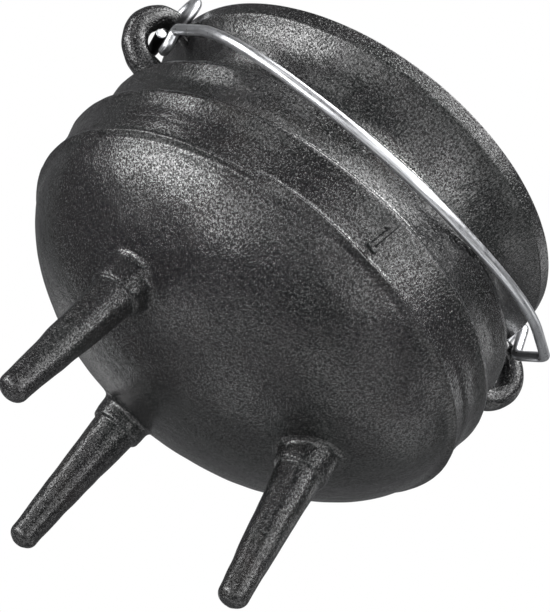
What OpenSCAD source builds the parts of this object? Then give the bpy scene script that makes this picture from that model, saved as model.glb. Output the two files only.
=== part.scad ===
// Three-legged round-bellied cast-iron dutch oven with a wire bail and a lid.
// Origin: on the pot's axis, in the plane of the three foot tips. +Z is up,
// +X runs through the two ears, the rear leg stands at +Y. Heights in this file are
// measured from a datum that lies foot_level below the foot tips.

/* [Rim] */
// Outer radius of the rim
rim_r = 95; // [92:0.5:98]
// Height of the rim's top face above the datum
rim_z = 198; // [196:0.5:200]
// Height of the rim's lower corner
lip_z = 190; // [189:0.5:191]
// Radius of the recess that takes the lid
seat_r = 91.2; // [90:0.1:92]
// Depth of the recess that takes the lid
seat_d = 3.6; // [3:0.1:4]

/* [Belly] */
// Height of the bottom's lowest point above the datum
dome_z = 62.5; // [60:0.5:65]
// Half width of the ellipse that the bottom follows
dome_a = 104; // [103:0.5:105]
// Half height of the ellipse that the bottom follows
dome_b = 66; // [64:0.5:68]
// Thickness of the bottom
wall = 5; // [4:0.5:6]
// Smallest outer radius of the neck
neck_r = 85; // [84:0.5:86]

/* [Legs] */
// Height of the foot tips above the datum
foot_level = 2; // [1.5:0.5:3]
// Distance of each foot tip from the axis
foot_pos_r = 67; // [64:0.5:70]
// Radius of the rounded foot
foot_r = 6; // [5:0.5:7]
// Radius of the leg just below its collar
leg_r = 9.75; // [9:0.25:10.5]
// Radius of the collar at its lower edge
collar_r = 11.3; // [11:0.1:12]
// Lean of each leg away from the vertical
leg_lean = 8; // [6:0.5:10]

/* [Ears] */
// Distance from the axis to the centre of the ear's bend
ear_x = 97.7; // [97:0.1:98.5]
// Height of the ear's top arm, which the bail turns on
ear_z = 190.6; // [190:0.1:191]
// Outer radius of the ear's loop
ear_out = 17.6; // [17.4:0.1:17.8]
// Radius of the ear's round arm at the top, where the bail hangs
ear_r = 4.6; // [4.4:0.1:4.6]
// Radius of the arm at the side and the foot of the loop
ear_side = 5.6; // [5.2:0.1:5.6]

/* [Bail] */
// Diameter of the bail's wire
wire_d = 4.5; // [4:0.1:4.5]
// Height of the bow's pointed outline above its ends' line, before rounding
bow_top = 106.5; // [106:0.5:109]
// Angle by which the stored bow hangs below the horizontal
bow_drop = 22; // [21.5:0.5:22.5]

/* [Lid] */
// Outer radius of the lid
lid_r = 90.6; // [90:0.1:90.8]
// Rise of the lid's top from its edge to its centre
lid_rise = 9; // [6:0.5:12]
// Thickness of the lid
lid_t = 4.5; // [4:0.5:5]
// Radius of the lid handle's arch
grip_bend = 20; // [18:0.5:22]
// Radius of the lid handle's bar
grip_r = 4.5; // [4:0.5:5]

/* [Hidden] */
$fn = 96;

iron = [0.17, 0.17, 0.175];
zinc = [0.66, 0.67, 0.69];

// ---- profile of the pot, as (radius, height) ----
function ell(r, a, b, z0) = z0 + b * (1 - sqrt(1 - pow(r / a, 2)));
function bez(p, t) = pow(1 - t, 3) * p[0] + 3 * t * pow(1 - t, 2) * p[1]
                   + 3 * t * t * (1 - t) * p[2] + pow(t, 3) * p[3];
dome_steps = 22;
dome_pts = [for (i = [0 : dome_steps]) let (r = 97.5 * sin(90 * i / dome_steps))
            [r, ell(r, dome_a, dome_b, dome_z)]];
// the bottom's proud edge, down to the crease above it
edge_pts = [[99.6, 109.4], [102.3, 112], [102.2, 112.9], [100.6, 114.3]];
// two bands that step in one above the other, each with a rounded shoulder
band_pts = [[100.6, 114.3], [100.8, 118], [101.5, 127], [102.8, 132.9], [102.7, 134.4],
            [101.8, 135.7], [99.6, 136.6], [98.2, 138.9], [97.6, 143], [97.5, 148],
            [98.2, 153.5], [98.9, 156.7], [98.7, 158.2], [97.6, 159]];
neck_ctrl = [[90.5, 159.2], [neck_r - 2.5, 161], [neck_r - 2.5, 178], [rim_r - 0.8, lip_z]];
neck_pts = [for (i = [0 : 14]) bez(neck_ctrl, i / 14)];
lip_pts = [[rim_r, lip_z + 0.9], [rim_r, rim_z - 0.9], [rim_r - 0.9, rim_z]];
outer_pts = concat(dome_pts, edge_pts, band_pts, neck_pts, lip_pts);

seat_z = rim_z - seat_d;
in_neck_ctrl = [[85.2, lip_z + 0.4], [neck_r - 7.5, 181], [neck_r - 7.5, 160], [86.5, 154.4]];
in_neck_pts = [for (i = [0 : 12]) bez(in_neck_ctrl, i / 12)];
in_band_pts = [[90.6, 152.6], [92.6, 149], [93.6, 142], [95.6, 134], [96.6, 126], [96.6, 119]];
in_dome_steps = 20;
in_dome_a = dome_a - wall - 0.5;
in_dome_b = dome_b - 4;
in_dome_r = in_dome_a * sqrt(1 - pow(1 - (114.3 - dome_z - wall) / in_dome_b, 2));
in_dome_pts = [for (i = [in_dome_steps : -1 : 0]) let (r = in_dome_r * sin(90 * i / in_dome_steps))
               [r, ell(r, in_dome_a, in_dome_b, dome_z + wall)]];
seat_pts = [[seat_r, rim_z], [seat_r, seat_z], [86.2, seat_z]];

// the space that the pot's outer skin encloses
module outer_form() {
    rotate_extrude() polygon(concat(outer_pts, [[0, rim_z]]));
}

// ---- wire bent round vertices: straight runs and round bends ----
function unit(v) = v / norm(v);
function turn(P, i) = acos(max(-1, min(1, unit(P[i] - P[i - 1]) * unit(P[i + 1] - P[i]))));
function cutback(P, R, i) = (i == 0 || i == len(P) - 1) ? 0 : R[i] * tan(turn(P, i) / 2);

// a straight run is a hair thicker than the bends and laps into them
lap = 0.06;
module run(P, R, i, lap0 = 1, lap1 = 1) {
    d = unit(P[i + 1] - P[i]);
    a = P[i] + d * (cutback(P, R, i) - lap * lap0);
    len_i = norm(P[i + 1] - P[i]) - cutback(P, R, i) - cutback(P, R, i + 1) + lap * (lap0 + lap1);
    translate(a) rotate([0, acos(d[2]), atan2(d[1], d[0])])
        cylinder(h = len_i, d = wire_d + 0.04, $fn = 24);
}

module bend(P, R, i) {
    v = unit(P[i] - P[i - 1]);
    w = unit(P[i + 1] - P[i]);
    t1 = P[i] - v * cutback(P, R, i);
    c = t1 + unit(w - v * (v * w)) * R[i];
    u = (t1 - c) / R[i];
    n = cross(u, v);
    multmatrix([[u[0], v[0], n[0], c[0]], [u[1], v[1], n[1], c[1]],
                [u[2], v[2], n[2], c[2]], [0, 0, 0, 1]])
        rotate_extrude(angle = turn(P, i), $fn = R[i] > 20 ? 180 : 48)
            translate([R[i], 0]) circle(d = wire_d, $fn = 24);
}

// the bow is a flat, uneven arch between its two ends: bow_a runs along their line and
// bow_e across it, down by bow_drop
bow_left = [-99.4, -16.5, 178.2];
bow_right = [108.2, -22, 189.1];
bow_a = unit(bow_right - bow_left);
bow_e0 = [0, -cos(bow_drop), -sin(bow_drop)];
bow_e = unit(bow_e0 - bow_a * (bow_e0 * bow_a));
function bow_at(x, h) = (bow_left + bow_right) / 2 + x * bow_a + h * bow_e;

// vertices of the whole wire, from the cut end in the left ear to the right one
wire_p = [[-101.9, -7.6, 177.4], [-97.8, 8.2, 174.4], [-99.4, 8.4, 203], [-99, -8, 203],
          [-96.3, -8, 170.6], [-97.2, -13.6, 171.4], bow_left,
          bow_at(-95.5, 70.5), bow_at(-18.5, bow_top), bow_at(64.5, 69),
          bow_right, [101.2, -9.3, 187.2], [99.8, -0.9, 205.5], [100.2, 9, 208],
          [99.4, 8.4, 181.4], [98.8, -3.4, 181.4]];
wire_b = [0, 5, 8, 8, 2.7, 2.7, 3.2, 65, 93, 120, 5.5, 3.5, 4.4, 4.4, 4.5, 0];
first_bow = 7;
last_bow = 9;

// ---- nodes ----
// the bowl's wall: the domed bottom up to the crease, the banded belly, the neck's
// two flanks, which meet at its waist, and the rim
module pot_bottom() {
    color(iron) rotate_extrude(convexity = 6) polygon(concat(dome_pts, edge_pts, in_dome_pts));
}
module pot_belly() {
    color(iron) rotate_extrude(convexity = 6)
        polygon(concat(band_pts, [neck_ctrl[0], in_neck_ctrl[3]], in_band_pts, [in_dome_pts[0]]));
}
module pot_neck_lower() {
    color(iron) rotate_extrude(convexity = 6)
        polygon(concat([for (i = [0 : 7]) neck_pts[i]], [for (i = [6 : 12]) in_neck_pts[i]]));
}
module pot_neck_upper() {
    color(iron) rotate_extrude(convexity = 6)
        polygon(concat([for (i = [7 : 14]) neck_pts[i]], [for (i = [0 : 6]) in_neck_pts[i]]));
}
module pot_rim() {
    color(iron) rotate_extrude(convexity = 6)
        polygon(concat([neck_ctrl[3]], lip_pts, seat_pts, [in_neck_ctrl[0]]));
}

// tapered round leg with a stepped collar where it meets the bottom
module leg(az) {
    color(iron) difference() {
        rotate([0, 0, az]) translate([foot_pos_r, 0, foot_r - 0.4]) rotate([0, -leg_lean, 0])
            rotate_extrude($fn = 64) polygon(concat(
                [for (i = [0 : 8]) let (a = -90 + 90 * i / 8) [foot_r * cos(a), foot_r * sin(a) + foot_level]],
                [[foot_r + 1.4, 22], [leg_r, 59.4], [leg_r + 0.9, 59.7], [collar_r, 60.6],
                 [collar_r + 0.6, 68], [collar_r + 2.4, 80], [collar_r + 2.4, 92], [0, 92]]));
        outer_form();
        translate([-120, -120, foot_level - 20]) cube([240, 240, 20]);
    }
}
module leg_front_left() { leg(210); }
module leg_front_right() { leg(330); }
module leg_rear() { leg(90); }

// loop ear: round top arm out of the rim, a bend that grows thicker downwards inside one
// round outline, and a root on the shoulder
module ear_arc(a0, a1, r) {
    translate([ear_x, 0, ear_z + ear_r - ear_out]) rotate([90, 0, 0]) rotate([0, 0, a0])
        rotate_extrude(angle = a1 - a0, $fn = 96) translate([ear_out - r, 0]) circle(r = r, $fn = 48);
}
module ear() {
    low = -80;
    mid = ear_out - ear_side;
    root = [ear_x + mid * cos(low), 0, ear_z + ear_r - ear_out + mid * sin(low)];
    color(iron) difference() {
        union() {
            translate([80, 0, ear_z]) rotate([0, 90, 0]) cylinder(h = ear_x - 79.94, r = ear_r + 0.03, $fn = 48);
            ear_arc(57, 90, ear_r);
            ear_arc(32, 57.5, (ear_r + ear_side) / 2 + 0.02);
            ear_arc(low, 32.5, ear_side);
            translate(root + [0.06, 0, 0.01]) rotate([0, -100, 0])
                cylinder(h = 22, r1 = ear_side + 0.03, r2 = 8, $fn = 48);
        }
        outer_form();
    }
}
module ear_right() { ear(); }
module ear_left() { rotate([0, 0, 180]) ear(); }

// plain raised size numeral on the middle band, its top towards the rim
mark_az = -89.2;
module size_mark() {
    color(iron) rotate([0, 0, mark_az]) translate([99.6, 0, 124.6]) rotate([0, 7, 0])
        rotate([90, 0, 90]) rotate([0, 0, -11]) linear_extrude(height = 3)
            polygon([[-1, -5.8], [-2.6, -5.8], [-2.6, -7.6], [2.6, -7.6], [2.6, -5.8], [1, -5.8],
                     [1, 7.6], [-0.8, 7.6], [-3.2, 4.8], [-3.2, 3.2], [-1, 4.6]]);
}

module bail_bow() {
    color(zinc) union() {
        for (i = [first_bow : last_bow]) bend(wire_p, wire_b, i);
        for (i = [first_bow : last_bow - 1]) run(wire_p, wire_b, i);
    }
}
module bail_hook_left() {
    color(zinc) union() {
        for (i = [0 : first_bow - 1]) run(wire_p, wire_b, i, i > 0 ? 1 : 0, i < first_bow - 1 ? 1 : 0);
        for (i = [1 : first_bow - 1]) bend(wire_p, wire_b, i);
    }
}
module bail_hook_right() {
    color(zinc) union() {
        for (i = [last_bow : len(wire_p) - 2])
            run(wire_p, wire_b, i, i > last_bow ? 1 : 0, i < len(wire_p) - 2 ? 1 : 0);
        for (i = [last_bow + 1 : len(wire_p) - 2]) bend(wire_p, wire_b, i);
    }
}

// lid: a shallow dome that drops into the rim's recess
lid_edge_z = rim_z + 0.2;
function lid_top(r) = lid_edge_z + lid_rise * (1 - pow(r / 86, 2));
module lid_form() {
    rotate_extrude() polygon(concat(
        [for (i = [0 : 12]) let (r = 84 * i / 12) [r, lid_top(r) - lid_t]],
        [[85.6, seat_z + 0.1], [lid_r, seat_z + 0.1], [lid_r, lid_edge_z - 0.6], [lid_r - 0.6, lid_edge_z]],
        [for (i = [12 : -1 : 0]) let (r = 86 * i / 12) [r, lid_top(r)]]));
}
module lid_cover() { color(iron) lid_form(); }
module lid_handle() {
    color(iron) difference() {
        translate([0, 0, lid_top(0) - 3]) union() {
            rotate([90, 0, 0]) rotate_extrude(angle = 180, $fn = 96)
                translate([grip_bend, 0]) circle(r = grip_r, $fn = 48);
            for (s = [-1, 1]) translate([s * grip_bend, 0, 0])
                cylinder(h = 7, r1 = grip_r + 2.5, r2 = grip_r, $fn = 48);
        }
        rotate_extrude() polygon(concat([[0, 150], [86, 150]],
            [for (i = [12 : -1 : 0]) let (r = 86 * i / 12) [r, lid_top(r)]]));
    }
}

// everything stands on the plane of the foot tips
module stand() { translate([0, 0, -foot_level]) children(); }

stand() pot_bottom();
stand() pot_belly();
stand() pot_neck_lower();
stand() pot_neck_upper();
stand() pot_rim();
stand() leg_front_left();
stand() leg_front_right();
stand() leg_rear();
stand() ear_left();
stand() ear_right();
stand() size_mark();
stand() bail_bow();
stand() bail_hook_left();
stand() bail_hook_right();
stand() lid_cover();
stand() lid_handle();
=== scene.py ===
"""Looks of a three-legged cast-iron dutch oven with a wire bail and a lid, built round its CAD frame."""
import math

import bpy
import numpy as np
from mathutils import Matrix, Vector


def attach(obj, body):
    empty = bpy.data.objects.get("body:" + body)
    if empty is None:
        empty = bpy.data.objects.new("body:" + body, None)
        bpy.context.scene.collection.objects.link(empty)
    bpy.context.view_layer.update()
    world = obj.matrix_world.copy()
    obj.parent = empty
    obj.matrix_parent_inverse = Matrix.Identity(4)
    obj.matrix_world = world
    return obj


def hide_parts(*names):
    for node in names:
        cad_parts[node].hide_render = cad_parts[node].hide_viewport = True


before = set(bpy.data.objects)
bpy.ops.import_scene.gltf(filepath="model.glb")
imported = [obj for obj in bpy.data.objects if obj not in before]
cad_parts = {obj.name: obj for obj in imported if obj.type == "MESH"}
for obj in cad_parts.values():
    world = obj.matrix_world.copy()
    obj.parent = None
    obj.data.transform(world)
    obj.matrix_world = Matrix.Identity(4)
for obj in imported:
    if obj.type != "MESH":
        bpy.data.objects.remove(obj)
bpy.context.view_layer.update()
MM = 0.001


# ---------------------------------------------------------------- geometry helpers (millimetres)
def waves(seed, count, low, high):
    """A smooth random field: a sum of plane waves with lengths between low and high mm."""
    rng = np.random.default_rng(seed)
    d = rng.normal(size=(count, 3))
    d /= np.linalg.norm(d, axis=1)[:, None]
    length = np.exp(rng.uniform(math.log(low), math.log(high), count))
    k = d * (2 * math.pi / length)[:, None]
    phase = rng.uniform(0, 2 * math.pi, count)
    amp = (length / high) ** 0.7
    amp /= math.sqrt(0.5 * (amp**2).sum())
    return lambda p: (np.cos(p @ k.T + phase) * amp).sum(-1)


def rounded(points, radii, max_step, arc_step_deg=7.0):
    """Points along a polyline whose vertices are rounded by arcs of the given radii."""
    P = [np.array(p, float) for p in points]
    out = [P[0]]
    for i in range(1, len(P)):
        if i == len(P) - 1:
            target, arc = P[i], None
        else:
            a, b = P[i] - P[i - 1], P[i + 1] - P[i]
            la, lb = np.linalg.norm(a), np.linalg.norm(b)
            a, b = a / la, b / lb
            turn = math.acos(max(-1.0, min(1.0, float(a @ b))))
            R = radii[i]
            if turn < 1e-4 or R <= 0:
                target, arc = P[i], None
            else:
                t = min(R * math.tan(turn / 2), 0.49 * la, 0.49 * lb)
                R = t / math.tan(turn / 2)
                target = P[i] - a * t
                inward = b - a * float(a @ b)
                inward /= np.linalg.norm(inward)
                arc = (target + inward * R, -inward, a, R, turn)
        gap = np.linalg.norm(target - out[-1])
        n = max(1, math.ceil(gap / max_step))
        start = out[-1]
        if gap > 1e-9:
            out += [start + (target - start) * (k + 1) / n for k in range(n)]
        if arc is not None:
            c, u, v, R, turn = arc
            m = max(2, math.ceil(math.degrees(turn) / arc_step_deg), math.ceil(R * turn / max_step))
            out += [c + R * (math.cos(turn * (k + 1) / m) * u + math.sin(turn * (k + 1) / m) * v) for k in range(m)]
    return np.array(out)


def bezier(p, n):
    t = np.linspace(0, 1, n + 1)[:, None]
    p = np.array(p, float)
    return (1 - t) ** 3 * p[0] + 3 * t * (1 - t) ** 2 * p[1] + 3 * t**2 * (1 - t) * p[2] + t**3 * p[3]


# the heights below are measured from a datum this many mm under the foot tips
FOOT_LEVEL = 2.0


def make_mesh(name, verts, faces, uv=None):
    me = bpy.data.meshes.new(name)
    me.from_pydata(((np.asarray(verts, float) - [0, 0, FOOT_LEVEL]) * MM).tolist(), [], faces)
    me.validate()
    me.polygons.foreach_set("use_smooth", [True] * len(me.polygons))
    if uv is not None:
        layer = me.uv_layers.new(name="run")
        idx = np.zeros(len(me.loops), np.int32)
        me.loops.foreach_get("vertex_index", idx)
        layer.data.foreach_set("uv", np.asarray(uv, np.float32)[idx].ravel())
    me.update()
    ob = bpy.data.objects.new(name, me)
    bpy.context.scene.collection.objects.link(ob)
    return ob


def grid_faces(rows, cols, wrap=True):
    """Quads of a grid whose rows follow each other and whose columns close into a ring."""
    out = []
    for i in range(rows - 1):
        a, b = i * cols, (i + 1) * cols
        for j in range(cols if wrap else cols - 1):
            k = (j + 1) % cols
            out.append((a + j, a + k, b + k, b + j))
    return out


def tube(name, path, radius, sides, ends=(None, None), normal=None, squash=None, roll=None):
    """A round bar along path. ends gives each end's chamfer in mm, or None where it is buried."""
    path = np.asarray(path, float)
    radius = np.broadcast_to(np.asarray(radius, float), len(path)).copy()
    tan = np.gradient(path, axis=0)
    tan /= np.linalg.norm(tan, axis=1)[:, None]
    n0 = np.array(normal if normal is not None else (0.3, 0.2, 0.93), float)
    n = n0 - tan[0] * (n0 @ tan[0])
    n /= np.linalg.norm(n)
    N = [n]
    for i in range(1, len(path)):
        n = N[-1] - tan[i] * (N[-1] @ tan[i])
        N.append(n / np.linalg.norm(n))
    N = np.array(N)
    B = np.cross(tan, N)
    length = np.concatenate([[0], np.cumsum(np.linalg.norm(np.diff(path, axis=0), axis=1))])
    rings, runs = [], []
    ang = np.linspace(0, 2 * math.pi, sides, endpoint=False)

    def ring(i, r, shift=0.0):
        sx, sy = squash[i] if squash is not None else (1.0, 1.0)
        c = path[i] + tan[i] * shift
        rings.append(c + r * (np.cos(ang)[:, None] * N[i] * sx + np.sin(ang)[:, None] * B[i] * sy))
        runs.append(length[i] + shift)

    def cap(i, chamfer, sign):
        """Rings that close an end: a small rounded chamfer and a flat face."""
        r = radius[i]
        steps = [(r - chamfer * (1 - math.cos(a)), -chamfer * (1 - math.sin(a))) for a in np.radians([15, 45, 75])]
        flat = [(r - chamfer, 0.0), (r * 0.62, 0.02), (r * 0.3, 0.03)]
        return steps, flat

    count = len(path)
    first = [] if ends[0] is None else cap(0, ends[0], -1)
    if ends[0] is not None:
        for r, s in reversed(first[1]):
            ring(0, r, -s)
        ch = ends[0]
        for a in np.radians([70, 45, 20]):
            ring(0, radius[0] - ch * (1 - math.cos(a)), ch * (1 - math.sin(a)))
        ring(0, radius[0], ch * 1.01)
        body = range(1, count)
    else:
        body = range(0, count)
    stop = count - 1 if ends[1] is not None else count
    for i in body:
        if i < stop:
            ring(i, radius[i])
    if ends[1] is not None:
        i, ch = count - 1, ends[1]
        ring(i, radius[i], -ch * 1.01)
        for a in np.radians([20, 45, 70]):
            ring(i, radius[i] - ch * (1 - math.cos(a)), -ch * (1 - math.sin(a)))
        for r, s in ((radius[i] - ch, 0.0), (radius[i] * 0.62, 0.02), (radius[i] * 0.3, 0.03)):
            ring(i, r, s)
    verts = np.concatenate(rings)
    faces = grid_faces(len(rings), sides)
    a, b = len(verts), len(verts) + 1
    verts = np.vstack([verts, rings[0].mean(0), rings[-1].mean(0)])
    last = (len(rings) - 1) * sides
    faces += [(a, (j + 1) % sides, j) for j in range(sides)]
    faces += [(b, last + j, last + (j + 1) % sides) for j in range(sides)]
    uv = np.array([[runs[i] * MM, j / sides] for i in range(len(rings)) for j in range(sides)] + [[runs[0] * MM, 0], [runs[-1] * MM, 0]])
    return make_mesh(name, verts, faces, uv)


# ---------------------------------------------------------------- the pot's profile
DOME = (104.0, 66.0, 62.5)  # half width, half height, lowest point
RIM_R, RIM_Z, LIP_Z = 95.0, 198.0, 190.0


def dome_z(r):
    a, b, z0 = DOME
    return z0 + b * (1 - np.sqrt(np.clip(1 - (np.asarray(r, float) / a) ** 2, 0, 1)))


def resample(line, count):
    """The same polyline with a fixed number of evenly spaced points."""
    run = np.concatenate([[0], np.cumsum(np.linalg.norm(np.diff(line, axis=0), axis=1))])
    t = np.linspace(0, run[-1], count)
    return np.column_stack([np.interp(t, run, line[:, 0]), np.interp(t, run, line[:, 1])])


DOME_END, EDGE_END = 96.0, (100.95, 121.0)
EDGE_N = 84


def smooth_step(x, a, b):
    t = np.clip((x - a) / (b - a), 0, 1)
    return t * t * (3 - 2 * t)


def edge_profile(deg):
    """The dome's proud edge at one azimuth. The two halves of the mould met a little out of true,
    so the edge is rounder and lower on one side of the seam than on the other."""
    a = (deg + 118.0) % 360.0  # 0 at the front seam, 180 at the rear one
    if a > 270:
        a -= 360.0
    right = float(smooth_step(a, -3, 3) * (1 - smooth_step(a, 177, 183)))
    d = (deg + 180.0) % 360.0 - 180.0
    z_left = 112.6 - (1.2 * float(smooth_step(d, -150, -120)) if -180 <= d < -60 else 0.0)
    z_right = 113.6 - 1.4 * float(smooth_step(d, -112, -88)) if -170 < d < 70 else 112.2
    r = np.linspace(DOME_END, 99.2, 8)
    start = np.column_stack([r, dome_z(r)])
    left = [*start, [99.75, 109.75], [102.6, z_left - 0.1], [100.4, z_left + 0.9], [100.55, 116.2], [100.8, 118.5], EDGE_END]
    rightp = [*start, [99.75, 109.75], [102.45, z_right], [100.25, z_right + 1.75], [100.5, 119.6], EDGE_END]
    rl = [0] * 8 + [2.5, 1.0, 1.4, 5, 5, 0]
    rr = [0] * 8 + [2.5, 0.45, 6.5, 5, 0]
    L = resample(rounded(left, rl, 0.2), EDGE_N)
    R = resample(rounded(rightp, rr, 0.2), EDGE_N)
    return L * (1 - right) + R * right


def outer_profile():
    """Two fixed runs of the outline, below and above the proud edge."""
    r = DOME_END * np.sin(np.linspace(0, math.pi / 2, 84))
    dome = np.column_stack([r, dome_z(r)])
    band = [EDGE_END, [101.15, 122.5], [101.45, 127], [103.6, 135.6], [98.1, 137.8], [97.5, 143], [97.4, 147],
            [99.8, 159.5], [90.5, 159.2]]
    band_r = [0, 12, 20, 5.2, 2.8, 12, 14, 4.5, 0]
    neck = bezier([[90.5, 159.2], [82.5, 161], [82.5, 178], [94.2, 190]], 46)
    lip = [[94.2, 190], [RIM_R, LIP_Z + 0.9], [RIM_R, RIM_Z - 0.4], [RIM_R - 1.0, RIM_Z], [91.2, RIM_Z]]
    band = rounded(band, band_r, 0.5)
    lip = rounded(lip, [0, 1.4, 1.6, 1.0, 0], 0.5)
    return dome, np.vstack([band, neck[1:], lip[1:]])


def inner_profile():
    seat = rounded([[91.2, RIM_Z], [91.2, 194.4], [86.2, 194.4], [85.2, 190.4]], [0.7, 0.5, 1.2, 0], 0.6)
    neck = bezier([[85.2, 190.4], [77.5, 181], [77.5, 160], [86.5, 154.4]], 26)
    band = rounded([[86.5, 154.4], [90.6, 152.6], [92.6, 149], [93.6, 142], [95.6, 134], [96.6, 126], [96.6, 119], [95.6, 114.4]],
                   [0, 3, 3, 12, 12, 12, 12, 0], 1.6)
    r = 95.6 * np.sin(np.linspace(math.pi / 2, 0, 66))
    dome = np.column_stack([r, 67.5 + 62 * (1 - np.sqrt(1 - (r / 98.5) ** 2))])
    return np.vstack([seat[1:], neck[1:], band[1:], dome[1:]])


cast_wave = waves(11, 48, 18, 60)
cast_ripple = waves(12, 60, 6, 15)


def skin(points, amount=0.10, ripple=0.035):
    """How far the sand mould let the skin wander from the pattern, in mm."""
    return amount * cast_wave(points) + ripple * cast_ripple(points)


def build_pot():
    low, high = outer_profile()
    inner = inner_profile()
    n = 480
    az = np.linspace(0, 2 * math.pi, n, endpoint=False)
    # the first and last points lie on the axis
    cols = []
    for a in az:
        cols.append(np.vstack([low[1:-1], edge_profile(math.degrees(a)), high[1:], inner[:-1]]))
    prof = np.stack(cols, 1)  # rows, azimuths, (r, z)
    tangent = np.gradient(prof, axis=0)
    tangent /= np.maximum(np.linalg.norm(tangent, axis=-1), 1e-9)[..., None]
    nr, nz = tangent[..., 1], -tangent[..., 0]
    r, z = prof[..., 0], prof[..., 1]
    ca, sa = np.cos(az)[None], np.sin(az)[None]
    P = np.stack([r * ca, r * sa, z], -1)
    D = np.stack([nr * ca, nr * sa, nz], -1)
    amount = skin(P)
    # calmer where the lid and the outline's highest and widest places are
    calm = 1 - 0.7 * smooth_step(P[..., 2], 187, 192)
    P = P + D * (amount * calm)[..., None]
    rows = len(prof)
    verts = P.reshape(-1, 3)
    faces = grid_faces(rows, n)
    bottom, top = len(verts), len(verts) + 1
    verts = np.vstack([verts, [0, 0, DOME[2]], [0, 0, 67.5]])
    faces += [(bottom, (j + 1) % n, j) for j in range(n)]
    last = (rows - 1) * n
    faces += [(top, last + j, last + (j + 1) % n) for j in range(n)]
    return make_mesh("pot_bowl_skin", verts, faces)


# ---------------------------------------------------------------- legs
LEAN = math.radians(8)


def build_leg(name, az, seed):
    prof = rounded([[0.0, -4.0], [2.2, -4.0], [6.15, -1.6], [6.3, 4.0], [7.4, 22], [8.6, 42], [9.75, 59.2], [11.15, 59.9], [11.6, 63.0]],
                   [0, 2.5, 4.2, 8, 60, 60, 0.9, 1.5, 0], 0.9, 9)
    prof = prof[1:]
    sides = 112
    phi = np.linspace(0, 2 * math.pi, sides, endpoint=False)
    up = np.array([-math.sin(LEAN), 0, math.cos(LEAN)])
    side_x = np.array([math.cos(LEAN), 0, math.sin(LEAN)])
    side_y = np.array([0, 1.0, 0])
    base = np.array([67.0, 0, 5.6])

    def at(r, s, f=phi):
        r, s = np.broadcast_arrays(np.asarray(r, float), np.asarray(s, float))
        ring = np.cos(f)[:, None] * side_x + np.sin(f)[:, None] * side_y
        return base + s[..., None] * up + r[..., None] * ring

    def root(r):
        """Where a line at distance r from the leg's axis meets the dome."""
        lo, hi = np.full(sides, 58.0), np.full(sides, 100.0)
        for _ in range(40):
            mid = (lo + hi) / 2
            p = at(np.full(sides, r), mid)
            under = p[:, 2] < dome_z(np.hypot(p[:, 0], p[:, 1]))
            lo, hi = np.where(under, mid, lo), np.where(under, hi, mid)
        return (lo + hi) / 2

    rings = [at(np.full(sides, r), np.full(sides, s)) for r, s in prof]
    s1 = root(12.0)
    flare = 2.4
    s2 = root(12.0 + flare)
    s_end = s1 - 2.6
    for k in range(1, 15):
        t = k / 14
        s = 63.0 + (s_end - 63.0) * t
        rings.append(at(11.6 + 0.045 * (s - 63.0), s))
    r_a = 11.6 + 0.045 * (s_end - 63.0)
    r_b = 11.6 + 0.045 * (s1 - 63.0)
    for k in range(1, 11):
        t = k / 10
        r = (1 - t) ** 2 * r_a + 2 * t * (1 - t) * r_b + t * t * (12 + flare)
        s = (1 - t) ** 2 * s_end + 2 * t * (1 - t) * s1 + t * t * s2
        rings.append(at(r, s))
    rings.append(at(np.full(sides, 12 + flare + 0.2), s2 + 0.9))
    rings.append(at(np.full(sides, 9.0), root(9.0) + 1.6))
    P = np.array(rings)
    # roughness of the sand along the leg
    centre = base + ((P - base) @ up)[..., None] * up
    out = P - centre
    out /= np.maximum(np.linalg.norm(out, axis=-1), 1e-6)[..., None]
    rot = np.array([[math.cos(az), -math.sin(az), 0], [math.sin(az), math.cos(az), 0], [0, 0, 1]])
    W = P @ rot.T
    fade = 1 - smooth_step((P - base) @ up, 60, 70)
    P = P + out * (skin(W + seed * 50, 0.10, 0.07) * (0.25 + 0.75 * fade))[..., None]
    P[..., 2] = np.maximum(P[..., 2], FOOT_LEVEL)
    P = P @ rot.T
    rows = len(P)
    verts = P.reshape(-1, 3)
    faces = [tuple(reversed(f)) for f in grid_faces(rows, sides)]
    a, b = len(verts), len(verts) + 1
    tip = np.array([base + up * -4.0]) @ rot.T
    tip[:, 2] = FOOT_LEVEL
    cap = at(np.zeros(sides), root(0.01) + 1.6)[0]
    verts = np.vstack([verts, tip, (cap @ rot.T)[None]])
    faces += [(a, j, (j + 1) % sides) for j in range(sides)]
    last = (rows - 1) * sides
    faces += [(b, last + (j + 1) % sides, last + j) for j in range(sides)]
    return make_mesh(name, verts, faces)


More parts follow.
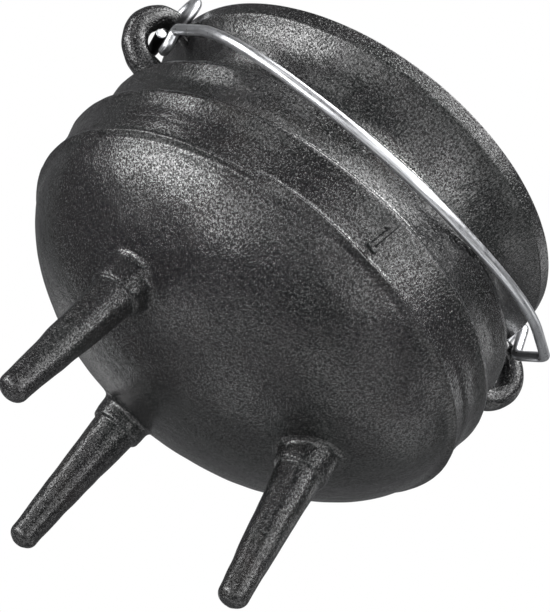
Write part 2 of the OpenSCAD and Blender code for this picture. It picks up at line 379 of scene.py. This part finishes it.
# ---------------------------------------------------------------- ears
def build_ear(name, sign):
    cx, cz, out = 97.7, 177.6, 17.6
    low = -80.0

    def arm(deg):
        """The arm's radius round the loop: thin where the bail hangs, thicker below."""
        return 4.6 + 1.0 * (1 - smooth_step(deg, 22, 72))

    path = [[86.0, 190.6], [90.0, 190.6], [94.0, 190.6], [96.0, 190.6]]
    radius = [5.9, 5.5, 4.75, 4.62]
    for a in np.linspace(90, low, 58):
        R = out - float(arm(a))
        path.append([cx + R * math.cos(math.radians(a)), cz + R * math.sin(math.radians(a))])
        radius.append(float(arm(a)))
    end = path[-1]
    d = (-math.sin(math.radians(100)), math.cos(math.radians(100)))
    for s in np.linspace(1.2, 20, 16):
        path.append([end[0] + d[0] * s, end[1] + d[1] * s])
        radius.append(5.6 + 0.11 * s + 1.1 * float(smooth_step(s, 5, 13)))
    path, radius = np.array(path), np.array(radius)
    run = np.concatenate([[0], np.cumsum(np.linalg.norm(np.diff(path, axis=0), axis=1))])
    pts = np.column_stack([path[:, 0], np.zeros(len(path)), path[:, 1]])
    # even spacing
    target = np.arange(0, run[-1], 0.75)
    pts = np.column_stack([np.interp(target, run, pts[:, k]) for k in range(3)])
    radius = np.interp(target, run, radius)
    pts[:, 0] *= sign
    ob = tube(name, pts, radius, 56, normal=(0, 1, 0))
    me = ob.data
    co = np.zeros(len(me.vertices) * 3)
    me.vertices.foreach_get("co", co)
    co = co.reshape(-1, 3) / MM
    nv = np.zeros(len(me.vertices) * 3)
    me.vertices.foreach_get("normal", nv)
    nv = nv.reshape(-1, 3)
    co += nv * skin(co * 1.0 + 7, 0.10, 0.09)[:, None]
    me.vertices.foreach_set("co", (co * MM).ravel())
    me.update()
    return ob


# ---------------------------------------------------------------- size numeral
def build_mark():
    """A raised plain figure 1 whose strokes have soft sides, sunk into the middle band."""
    az, tilt, lean = math.radians(-89.2), math.radians(5), math.radians(-11)
    strokes = [[(0, -6.7), (0, 6.6)], [(-1.9, -6.7), (1.9, -6.7)], [(-2.2, 3.7), (-0.1, 6.3)]]
    nx, ny = 84, 150
    xs, ys = np.linspace(-5.0, 5.0, nx), np.linspace(-10.0, 10.0, ny)
    X, Y = np.meshgrid(xs, ys, indexing="ij")
    dist = np.full(X.shape, 1e9)
    for (x0, y0), (x1, y1) in strokes:
        d = np.array([x1 - x0, y1 - y0])
        t = np.clip(((X - x0) * d[0] + (Y - y0) * d[1]) / (d @ d), 0, 1)
        dist = np.minimum(dist, np.hypot(X - x0 - t * d[0], Y - y0 - t * d[1]))
    wob = waves(31, 20, 2.5, 6)
    dist = dist + 0.10 * wob(np.stack([X, Y, 0 * X], -1))
    h = 1.35 * (1 - smooth_step(dist, 0.55, 1.55)) - 0.5 * smooth_step(dist, 1.55, 2.4)
    ca, sa, ct, st = math.cos(az), math.sin(az), math.cos(tilt), math.sin(tilt)
    R = np.array([[ca, -sa, 0], [sa, ca, 0], [0, 0, 1]]) @ np.array([[ct, 0, st], [0, 1, 0], [-st, 0, ct]])
    cl, sl = math.cos(lean), math.sin(lean)
    u = X * cl - Y * sl
    v = X * sl + Y * cl
    # the wall's own roundness, so that the figure follows it
    zc = 124.6 + v
    wall = np.interp(zc, [113.5, 115, 118, 121, 127, 132.6, 135.1], [100.6, 100.3, 100.6, 100.95, 101.45, 102.6, 102.6])
    ang = az + u / 101.0
    r = wall + h
    P = np.stack([r * np.cos(ang), r * np.sin(ang), zc], -1)
    keep = dist < 2.2
    index = -np.ones(X.shape, int)
    index[keep] = np.arange(keep.sum())
    faces = []
    for i in range(nx - 1):
        for j in range(ny - 1):
            q = (index[i, j], index[i + 1, j], index[i + 1, j + 1], index[i, j + 1])
            if min(q) >= 0:
                faces.append(q)
    return make_mesh("size_figure", P[keep], faces)


# ---------------------------------------------------------------- bail
BOW_LEFT, BOW_RIGHT = np.array([-99.4, -16.5, 178.2]), np.array([108.2, -22, 189.1])


def bow_at(x, h):
    a = (BOW_RIGHT - BOW_LEFT) / np.linalg.norm(BOW_RIGHT - BOW_LEFT)
    drop = math.radians(22)
    e0 = np.array([0, -math.cos(drop), -math.sin(drop)])
    e = e0 - a * (e0 @ a)
    e /= np.linalg.norm(e)
    return (BOW_LEFT + BOW_RIGHT) / 2 + x * a + h * e


WIRE = [(-101.9, -7.6, 177.4), (-97.8, 8.2, 174.4), (-99.4, 8.4, 203), (-99, -8, 203),
        (-96.3, -8, 170.6), (-97.2, -13.6, 171.4), BOW_LEFT,
        bow_at(-95.5, 70.5), bow_at(-18.5, 106.5), bow_at(64.5, 69),
        BOW_RIGHT, (101.2, -9.3, 187.2), (99.8, -0.9, 205.5), (100.2, 9, 208),
        (99.4, 8.4, 181.4), (98.8, -3.4, 181.4)]
BENDS = [0, 5, 8, 8, 2.7, 2.7, 3.2, 65, 93, 120, 5.5, 3.5, 4.4, 4.4, 4.5, 0]


def build_bail():
    path = rounded(WIRE, BENDS, 1.6, 6)
    keep = [0]
    for i in range(1, len(path)):
        if np.linalg.norm(path[i] - path[keep[-1]]) > 0.12:
            keep.append(i)
    return tube("bail_wire_handle", path[keep], 2.25, 40, ends=(0.35, 0.35))


# ---------------------------------------------------------------- lid
def lid_top(r):
    return 198.2 + 9.0 * (1 - (r / 86.0) ** 2)


def build_lid():
    r = np.linspace(0, 84, 60)
    top = np.column_stack([r, lid_top(r)])
    edge = rounded([[84, lid_top(84)], [86.2, 198.2], [89.9, 198.2], [90.6, 197.6], [90.6, 194.5], [85.6, 194.5], [84, lid_top(84) - 4.5]],
                   [0, 1.5, 0.8, 0.8, 0.6, 1.0, 0], 0.5)
    under = np.column_stack([r[::-1], lid_top(r[::-1]) - 4.5])
    prof = np.vstack([top[1:-1], edge, under[1:-1]])
    n = 360
    az = np.linspace(0, 2 * math.pi, n, endpoint=False)
    P = np.stack([prof[:, :1] * np.cos(az), prof[:, :1] * np.sin(az), prof[:, 1:] + 0 * az[None]], -1)
    inner = 1 - smooth_step(prof[:, 0], 78, 84)
    P[..., 2] += 0.10 * cast_wave(P + 90) * inner[:, None]
    rows = len(prof)
    verts = P.reshape(-1, 3)
    faces = [tuple(reversed(f)) for f in grid_faces(rows, n)]
    a, b = len(verts), len(verts) + 1
    verts = np.vstack([verts, [0, 0, lid_top(0)], [0, 0, lid_top(0) - 4.5]])
    faces += [(a, j, (j + 1) % n) for j in range(n)]
    last = (rows - 1) * n
    faces += [(b, last + (j + 1) % n, last + j) for j in range(n)]
    return make_mesh("lid_plate", verts, faces)


def build_lid_handle():
    base = lid_top(0) - 3.0
    pts = []
    rad = []
    for s in np.linspace(-3.5, 0, 6)[:-1]:
        pts.append([20.0, 0, base + s])
        rad.append(4.5)
    for a in np.linspace(0, 180, 90):
        pts.append([20.0 * math.cos(math.radians(a)), 0, base + 20.0 * math.sin(math.radians(a))])
        rad.append(4.5)
    for s in np.linspace(0, -3.5, 6)[1:]:
        pts.append([-20.0, 0, base + s])
        rad.append(4.5)
    pts, rad = np.array(pts), np.array(rad)
    above = np.clip(pts[:, 2] - (lid_top(0) - 0.6), 0, None)
    rad = rad + 2.4 * np.clip(1 - above / 6.0, 0, 1) ** 2
    rad = rad * (1 - 0.06 * np.clip((pts[:, 2] - base) / 20, 0, 1))
    ob = tube("lid_loop_handle", pts, rad, 56, normal=(0, 1, 0))
    return ob


# ---------------------------------------------------------------- materials
def nodes_of(mat):
    mat.use_nodes = True
    nt = mat.node_tree
    return nt, nt.nodes, nt.links, nt.nodes["Principled BSDF"]


def iron(name, grain=1.0, tint=0.0):
    """Oiled, sand-cast black iron: pebbled skin whose facets catch the light one by one."""
    mat = bpy.data.materials.new(name)
    nt, N, L, bsdf = nodes_of(mat)
    tc = N.new("ShaderNodeTexCoord")

    def noise(scale, detail, rough, distort=0.0):
        n = N.new("ShaderNodeTexNoise")
        n.inputs["Scale"].default_value = scale
        n.inputs["Detail"].default_value = detail
        n.inputs["Roughness"].default_value = rough
        n.inputs["Distortion"].default_value = distort
        L.new(tc.outputs["Object"], n.inputs["Vector"])
        return n.outputs["Fac"]

    def remap(value, a, b, c, d):
        m = N.new("ShaderNodeMapRange")
        m.inputs["From Min"].default_value = a
        m.inputs["From Max"].default_value = b
        m.inputs["To Min"].default_value = c
        m.inputs["To Max"].default_value = d
        L.new(value, m.inputs["Value"])
        return m.outputs["Result"]

    def math_node(op, a, b):
        m = N.new("ShaderNodeMath")
        m.operation = op
        for k, x in enumerate((a, b)):
            if isinstance(x, (int, float)):
                m.inputs[k].default_value = x
            else:
                L.new(x, m.inputs[k])
        return m.outputs[0]

    pebbles = noise(1150, 2.0, 0.55, 0.15)
    fine = noise(1500, 1.0, 0.5)
    broad = noise(260, 2.0, 0.5)
    patch = noise(26, 3.0, 0.6)

    # colour: near black, a little greyer on the raised grain, faintly brown in patches
    ramp = N.new("ShaderNodeValToRGB")
    ramp.color_ramp.elements[0].position = 0.36
    ramp.color_ramp.elements[0].color = (0.004, 0.004, 0.0042, 1)
    ramp.color_ramp.elements[1].position = 0.66
    ramp.color_ramp.elements[1].color = (0.014, 0.014, 0.0145, 1)
    L.new(pebbles, ramp.inputs["Fac"])
    brown = N.new("ShaderNodeMix")
    brown.data_type = "RGBA"
    brown.inputs["B"].default_value = (0.030, 0.022, 0.017, 1)
    L.new(ramp.outputs["Color"], brown.inputs["A"])
    L.new(remap(patch, 0.60, 0.78, 0.0, 0.30 + tint), brown.inputs["Factor"])
    L.new(brown.outputs["Result"], bsdf.inputs["Base Color"])

    # roughness: the tops are rubbed smoother than the pits, and wear varies in patches
    rough = math_node("ADD", remap(pebbles, 0.38, 0.60, 0.19, 0.11), remap(patch, 0.3, 0.7, -0.02, 0.04))
    L.new(rough, bsdf.inputs["Roughness"])
    L.new(remap(pebbles, 0.36, 0.58, 0.35, 1.15), bsdf.inputs["Specular IOR Level"])
    bsdf.inputs["Metallic"].default_value = 0.0

    b0 = N.new("ShaderNodeBump")
    b0.inputs["Strength"].default_value = 1.0
    b0.inputs["Distance"].default_value = 0.0002
    L.new(broad, b0.inputs["Height"])
    b1 = N.new("ShaderNodeBump")
    b1.inputs["Strength"].default_value = 1.0
    b1.inputs["Distance"].default_value = 0.00018 * grain
    L.new(pebbles, b1.inputs["Height"])
    L.new(b0.outputs["Normal"], b1.inputs["Normal"])
    b2 = N.new("ShaderNodeBump")
    b2.inputs["Strength"].default_value = 1.0
    b2.inputs["Distance"].default_value = 0.0002 * grain
    # single grains that stand out of the skin
    L.new(remap(fine, 0.57, 0.78, 0.0, 1.0), b2.inputs["Height"])
    L.new(b1.outputs["Normal"], b2.inputs["Normal"])
    L.new(b2.outputs["Normal"], bsdf.inputs["Normal"])
    return mat


def zinc(name):
    """Drawn, zinc-plated wire: lengthwise die lines and small dull spots, with painted shade on the left hook."""
    mat = bpy.data.materials.new(name)
    nt, N, L, bsdf = nodes_of(mat)
    uv = N.new("ShaderNodeUVMap")
    uv.uv_map = "run"
    stretch = N.new("ShaderNodeMapping")
    stretch.inputs["Scale"].default_value = (26, 9, 1)
    L.new(uv.outputs["UV"], stretch.inputs["Vector"])
    lines = N.new("ShaderNodeTexNoise")
    lines.inputs["Scale"].default_value = 1.6
    lines.inputs["Detail"].default_value = 4
    lines.inputs["Roughness"].default_value = 0.65
    L.new(stretch.outputs["Vector"], lines.inputs["Vector"])
    tc = N.new("ShaderNodeTexCoord")
    spots = N.new("ShaderNodeTexNoise")
    spots.inputs["Scale"].default_value = 420
    spots.inputs["Detail"].default_value = 3
    L.new(tc.outputs["Object"], spots.inputs["Vector"])
    ramp = N.new("ShaderNodeValToRGB")
    ramp.color_ramp.elements[0].position = 0.30
    ramp.color_ramp.elements[0].color = (0.42, 0.43, 0.45, 1)
    ramp.color_ramp.elements[1].position = 0.62
    ramp.color_ramp.elements[1].color = (0.80, 0.81, 0.83, 1)
    L.new(lines.outputs["Fac"], ramp.inputs["Fac"])
    # painted shade: the wire's colour is darkened where the left hook runs in and under its ear, standing in for the
    # ear's shadow and the dark iron the wire reflects there
    parts = N.new("ShaderNodeSeparateXYZ")
    L.new(uv.outputs["UV"], parts.inputs["Vector"])
    shade_mask = None
    for a0, a1, b0, b1 in ((0.0006, 0.0009, 0.026, 0.034), (0.060, 0.066, 0.078, 0.083)):
        edges = []
        for lo, hi, x, y in ((a0, a1, 0.0, 1.0), (b0, b1, 1.0, 0.0)):
            m = N.new("ShaderNodeMapRange")
            m.interpolation_type = "SMOOTHSTEP"
            m.inputs["From Min"].default_value = lo
            m.inputs["From Max"].default_value = hi
            m.inputs["To Min"].default_value = x
            m.inputs["To Max"].default_value = y
            L.new(parts.outputs["X"], m.inputs["Value"])
            edges.append(m.outputs["Result"])
        both = N.new("ShaderNodeMath")
        both.operation = "MULTIPLY"
        L.new(edges[0], both.inputs[0])
        L.new(edges[1], both.inputs[1])
        if shade_mask is None:
            shade_mask = both.outputs[0]
        else:
            top = N.new("ShaderNodeMath")
            top.operation = "MAXIMUM"
            L.new(shade_mask, top.inputs[0])
            L.new(both.outputs[0], top.inputs[1])
            shade_mask = top.outputs[0]
    painted_shade = N.new("ShaderNodeMix")
    painted_shade.data_type = "RGBA"
    # painted shade colour: a near-black grey laid over the zinc along the left hook's shaded runs
    painted_shade.inputs["B"].default_value = (0.05, 0.05, 0.052, 1)
    L.new(shade_mask, painted_shade.inputs["Factor"])
    L.new(ramp.outputs["Color"], painted_shade.inputs["A"])
    L.new(painted_shade.outputs["Result"], bsdf.inputs["Base Color"])
    bsdf.inputs["Metallic"].default_value = 1.0
    m = N.new("ShaderNodeMapRange")
    m.inputs["From Min"].default_value = 0.3
    m.inputs["From Max"].default_value = 0.7
    m.inputs["To Min"].default_value = 0.26
    m.inputs["To Max"].default_value = 0.40
    L.new(spots.outputs["Fac"], m.inputs["Value"])
    L.new(m.outputs["Result"], bsdf.inputs["Roughness"])
    b = N.new("ShaderNodeBump")
    b.inputs["Distance"].default_value = 0.00003
    L.new(lines.outputs["Fac"], b.inputs["Height"])
    b2 = N.new("ShaderNodeBump")
    b2.inputs["Distance"].default_value = 0.00002
    L.new(spots.outputs["Fac"], b2.inputs["Height"])
    L.new(b.outputs["Normal"], b2.inputs["Normal"])
    L.new(b2.outputs["Normal"], bsdf.inputs["Normal"])
    return mat


IRON = iron("black_cast_iron")
LID_IRON = iron("black_cast_iron_lid", 0.9)
ZINC = zinc("zinc_plated_wire")


# ---------------------------------------------------------------- pieces
def add(ob, body, slot, mat, *nodes):
    ob.data.materials.append(mat)
    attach(ob, body)
    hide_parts(*nodes)
    return ob


add(build_pot(), "pot", "cast_iron", IRON, "pot_bottom", "pot_belly", "pot_neck_lower", "pot_neck_upper", "pot_rim")
add(build_leg("leg_front_left_skin", math.radians(210), 1), "pot", "cast_iron", IRON, "leg_front_left")
add(build_leg("leg_front_right_skin", math.radians(330), 2), "pot", "cast_iron", IRON, "leg_front_right")
add(build_leg("leg_rear_skin", math.radians(90), 3), "pot", "cast_iron", IRON, "leg_rear")
add(build_ear("ear_left_skin", -1), "pot", "cast_iron", IRON, "ear_left")
add(build_ear("ear_right_skin", 1), "pot", "cast_iron", IRON, "ear_right")
add(build_mark(), "pot", "cast_iron", IRON, "size_mark")
add(build_bail(), "bail", "bail_wire", ZINC, "bail_bow", "bail_hook_left", "bail_hook_right")
add(build_lid(), "lid", "lid_iron", LID_IRON, "lid_cover")
add(build_lid_handle(), "lid", "lid_iron", LID_IRON, "lid_handle")


# ---------------------------------------------------------------- camera
RIGHT = Vector((0.7006, -0.4608, 0.5448))
UP = Vector((-0.6879, -0.2336, 0.6871))
BACK = Vector((-0.1894, -0.8562, -0.4807))
cam_data = bpy.data.cameras.new("camera")
cam = bpy.data.objects.new("camera", cam_data)
bpy.context.scene.collection.objects.link(cam)
BACK.normalize()
RIGHT = (RIGHT - BACK * RIGHT.dot(BACK)).normalized()
UP = BACK.cross(RIGHT)
cam.matrix_world = Matrix(((RIGHT.x, UP.x, BACK.x, -0.1972), (RIGHT.y, UP.y, BACK.y, -0.9274), (RIGHT.z, UP.z, BACK.z, -0.3950), (0, 0, 0, 1)))
cam_data.lens = 155.44
cam_data.sensor_width = 36
cam_data.clip_start = 0.05
cam_data.clip_end = 50
bpy.context.scene.camera = cam


# ---------------------------------------------------------------- stage and light
def soft_box(name, direction, distance, width, height, power, spin=0.0, colour=(1, 1, 1)):
    """A large soft light in a direction given as (right, up, towards the camera)."""
    d = (RIGHT * direction[0] + UP * direction[1] + BACK * direction[2]).normalized()
    data = bpy.data.lights.new(name, "AREA")
    data.shape = "RECTANGLE"
    data.size, data.size_y = width, height
    data.energy = power
    data.color = colour
    ob = bpy.data.objects.new(name, data)
    centre = Vector((0, 0, 0.11))
    ob.location = centre + d * distance
    q = (-d).to_track_quat("-Z", "Y")
    ob.rotation_mode = "QUATERNION"
    ob.rotation_quaternion = q @ Matrix.Rotation(spin, 4, "Z").to_quaternion()
    ob.visible_camera = False
    bpy.context.scene.collection.objects.link(ob)
    return ob


def watts(radiance, width, height):
    return radiance * math.pi * width * height


for name, direction, radiance in (
        ("key", (-0.78, 0.30, 0.55), 9.0),
        ("key_upper", (-0.81, 0.46, 0.36), 5.0),
        ("key_top", (-0.66, 0.50, 0.56), 2.5),
        ("right_crest", (0.50, 0.81, 0.29), 2.0),
        ("key_lower", (-0.68, -0.11, 0.73), 5.2),
        ("key_inner", (-0.58, 0.30, 0.75), 1.6),
        ("left_edge", (-0.90, 0.42, 0.10), 6.3),
        ("left_side", (-0.97, 0.05, 0.25), 1.5),
        ("left_top", (-0.62, 0.78, 0.05), 6.0),
        ("right", (0.88, 0.08, 0.46), 4.8),
        ("right_lower", (0.66, -0.17, 0.73), 4.5),
        ("right_edge", (0.94, 0.33, 0.13), 4.0),
        ("right_upper", (0.67, 0.48, 0.56), 2.9),
        ("right_top", (0.64, 0.73, 0.23), 4.2),
        ("right_top_low", (0.82, 0.54, 0.17), 5.2),
        ("rim_right", (0.80, 0.58, -0.18), 7.5),
        ("rim_back", (0.75, 0.62, -0.20), 8.5),
        ("rim_top", (0.47, 0.83, -0.30), 9.0),
        ("front_left", (-0.38, 0.14, 0.91), 2.6),
        ("front", (0.17, -0.02, 0.99), 1.7),
        ("front_right", (0.48, 0.23, 0.84), 2.3),
        ("front_low", (0.34, -0.42, 0.84), 2.3),
        ("front_mid", (-0.17, -0.27, 0.95), 0.8),
        ("top_front", (-0.16, 0.80, 0.58), 1.9),
        ("top", (0.18, 0.98, 0.00), 2.2),
        ("low_left", (-0.79, -0.61, 0.10), 1.4),
        ("low_front_left", (-0.50, -0.77, 0.41), 1.0),
        ("low_back_left", (-0.50, -0.86, -0.11), 1.1),
        ("low_front", (-0.12, -0.92, 0.37), 1.3),
        ("low_front_right", (0.32, -0.83, 0.46), 1.3),
        ("low", (0.16, -0.98, 0.07), 1.1),
        ("low_right", (0.68, -0.73, 0.03), 1.3),
        ("low_back_right", (0.40, -0.89, -0.22), 0.9),
        ("back_right", (0.77, -0.23, -0.59), 1.1),
        ("back_left", (-0.51, -0.30, -0.81), 0.6)):
    soft_box(name, direction, 1.6, 0.5, 0.5, watts(radiance, 0.5, 0.5))

world = bpy.data.worlds.new("studio")
bpy.context.scene.world = world
world.use_nodes = True
wn, wl = world.node_tree.nodes, world.node_tree.links
bg_light = wn["Background"]
bg_light.inputs["Color"].default_value = (0.97, 0.98, 1.0, 1)
# dim above and in front, brighter from behind and below, where the white sweep is
sky = wn.new("ShaderNodeTexCoord")
total = None
for direction, low, high, gain in (((0.57, -0.32, -0.76), -0.1, 1.0, 0.04), ((0.0, -0.95, 0.3), -0.1, 1.0, 0.05),
                                   ((0.0, 0.1, 1.0), 0.2, 1.0, 0.05)):
    d = (RIGHT * direction[0] + UP * direction[1] + BACK * direction[2]).normalized()
    dot = wn.new("ShaderNodeVectorMath")
    dot.operation = "DOT_PRODUCT"
    dot.inputs[1].default_value = d
    wl.new(sky.outputs["Generated"], dot.inputs[0])
    m = wn.new("ShaderNodeMapRange")
    m.interpolation_type = "SMOOTHSTEP"
    m.inputs["From Min"].default_value = low
    m.inputs["From Max"].default_value = high
    m.inputs["To Min"].default_value = 0.0
    m.inputs["To Max"].default_value = gain
    wl.new(dot.outputs["Value"], m.inputs["Value"])
    plus = wn.new("ShaderNodeMath")
    plus.operation = "ADD"
    wl.new(m.outputs["Result"], plus.inputs[0])
    if total is None:
        plus.inputs[1].default_value = 0.145
    else:
        wl.new(total, plus.inputs[1])
    total = plus.outputs[0]
wl.new(total, bg_light.inputs["Strength"])
bg_seen = wn.new("ShaderNodeBackground")
bg_seen.inputs["Color"].default_value = (1, 1, 1, 1)
bg_seen.inputs["Strength"].default_value = 1.0
path = wn.new("ShaderNodeLightPath")
mix = wn.new("ShaderNodeMixShader")
wl.new(path.outputs["Is Camera Ray"], mix.inputs["Fac"])
wl.new(bg_light.outputs["Background"], mix.inputs[1])
wl.new(bg_seen.outputs["Background"], mix.inputs[2])
wl.new(mix.outputs["Shader"], wn["World Output"].inputs["Surface"])

bpy.ops.mesh.primitive_plane_add(size=6, location=(0, 0, -0.0002))
floor = bpy.context.object
floor.name = "studio_floor"
fm = bpy.data.materials.new("pale_floor")
nt, N, L, bsdf = nodes_of(fm)
bsdf.inputs["Base Color"].default_value = (0.86, 0.86, 0.85, 1)
bsdf.inputs["Roughness"].default_value = 0.9
geo = N.new("ShaderNodeNewGeometry")
clear = N.new("ShaderNodeBsdfTransparent")
both = N.new("ShaderNodeMixShader")
L.new(geo.outputs["Backfacing"], both.inputs["Fac"])
L.new(bsdf.outputs["BSDF"], both.inputs[1])
L.new(clear.outputs["BSDF"], both.inputs[2])
L.new(both.outputs["Shader"], N["Material Output"].inputs["Surface"])
floor.data.materials.append(fm)
floor.visible_shadow = False
floor.visible_glossy = False
floor.visible_diffuse = False

bpy.context.scene.view_settings.view_transform = "Standard"
bpy.context.scene.view_settings.look = "None"
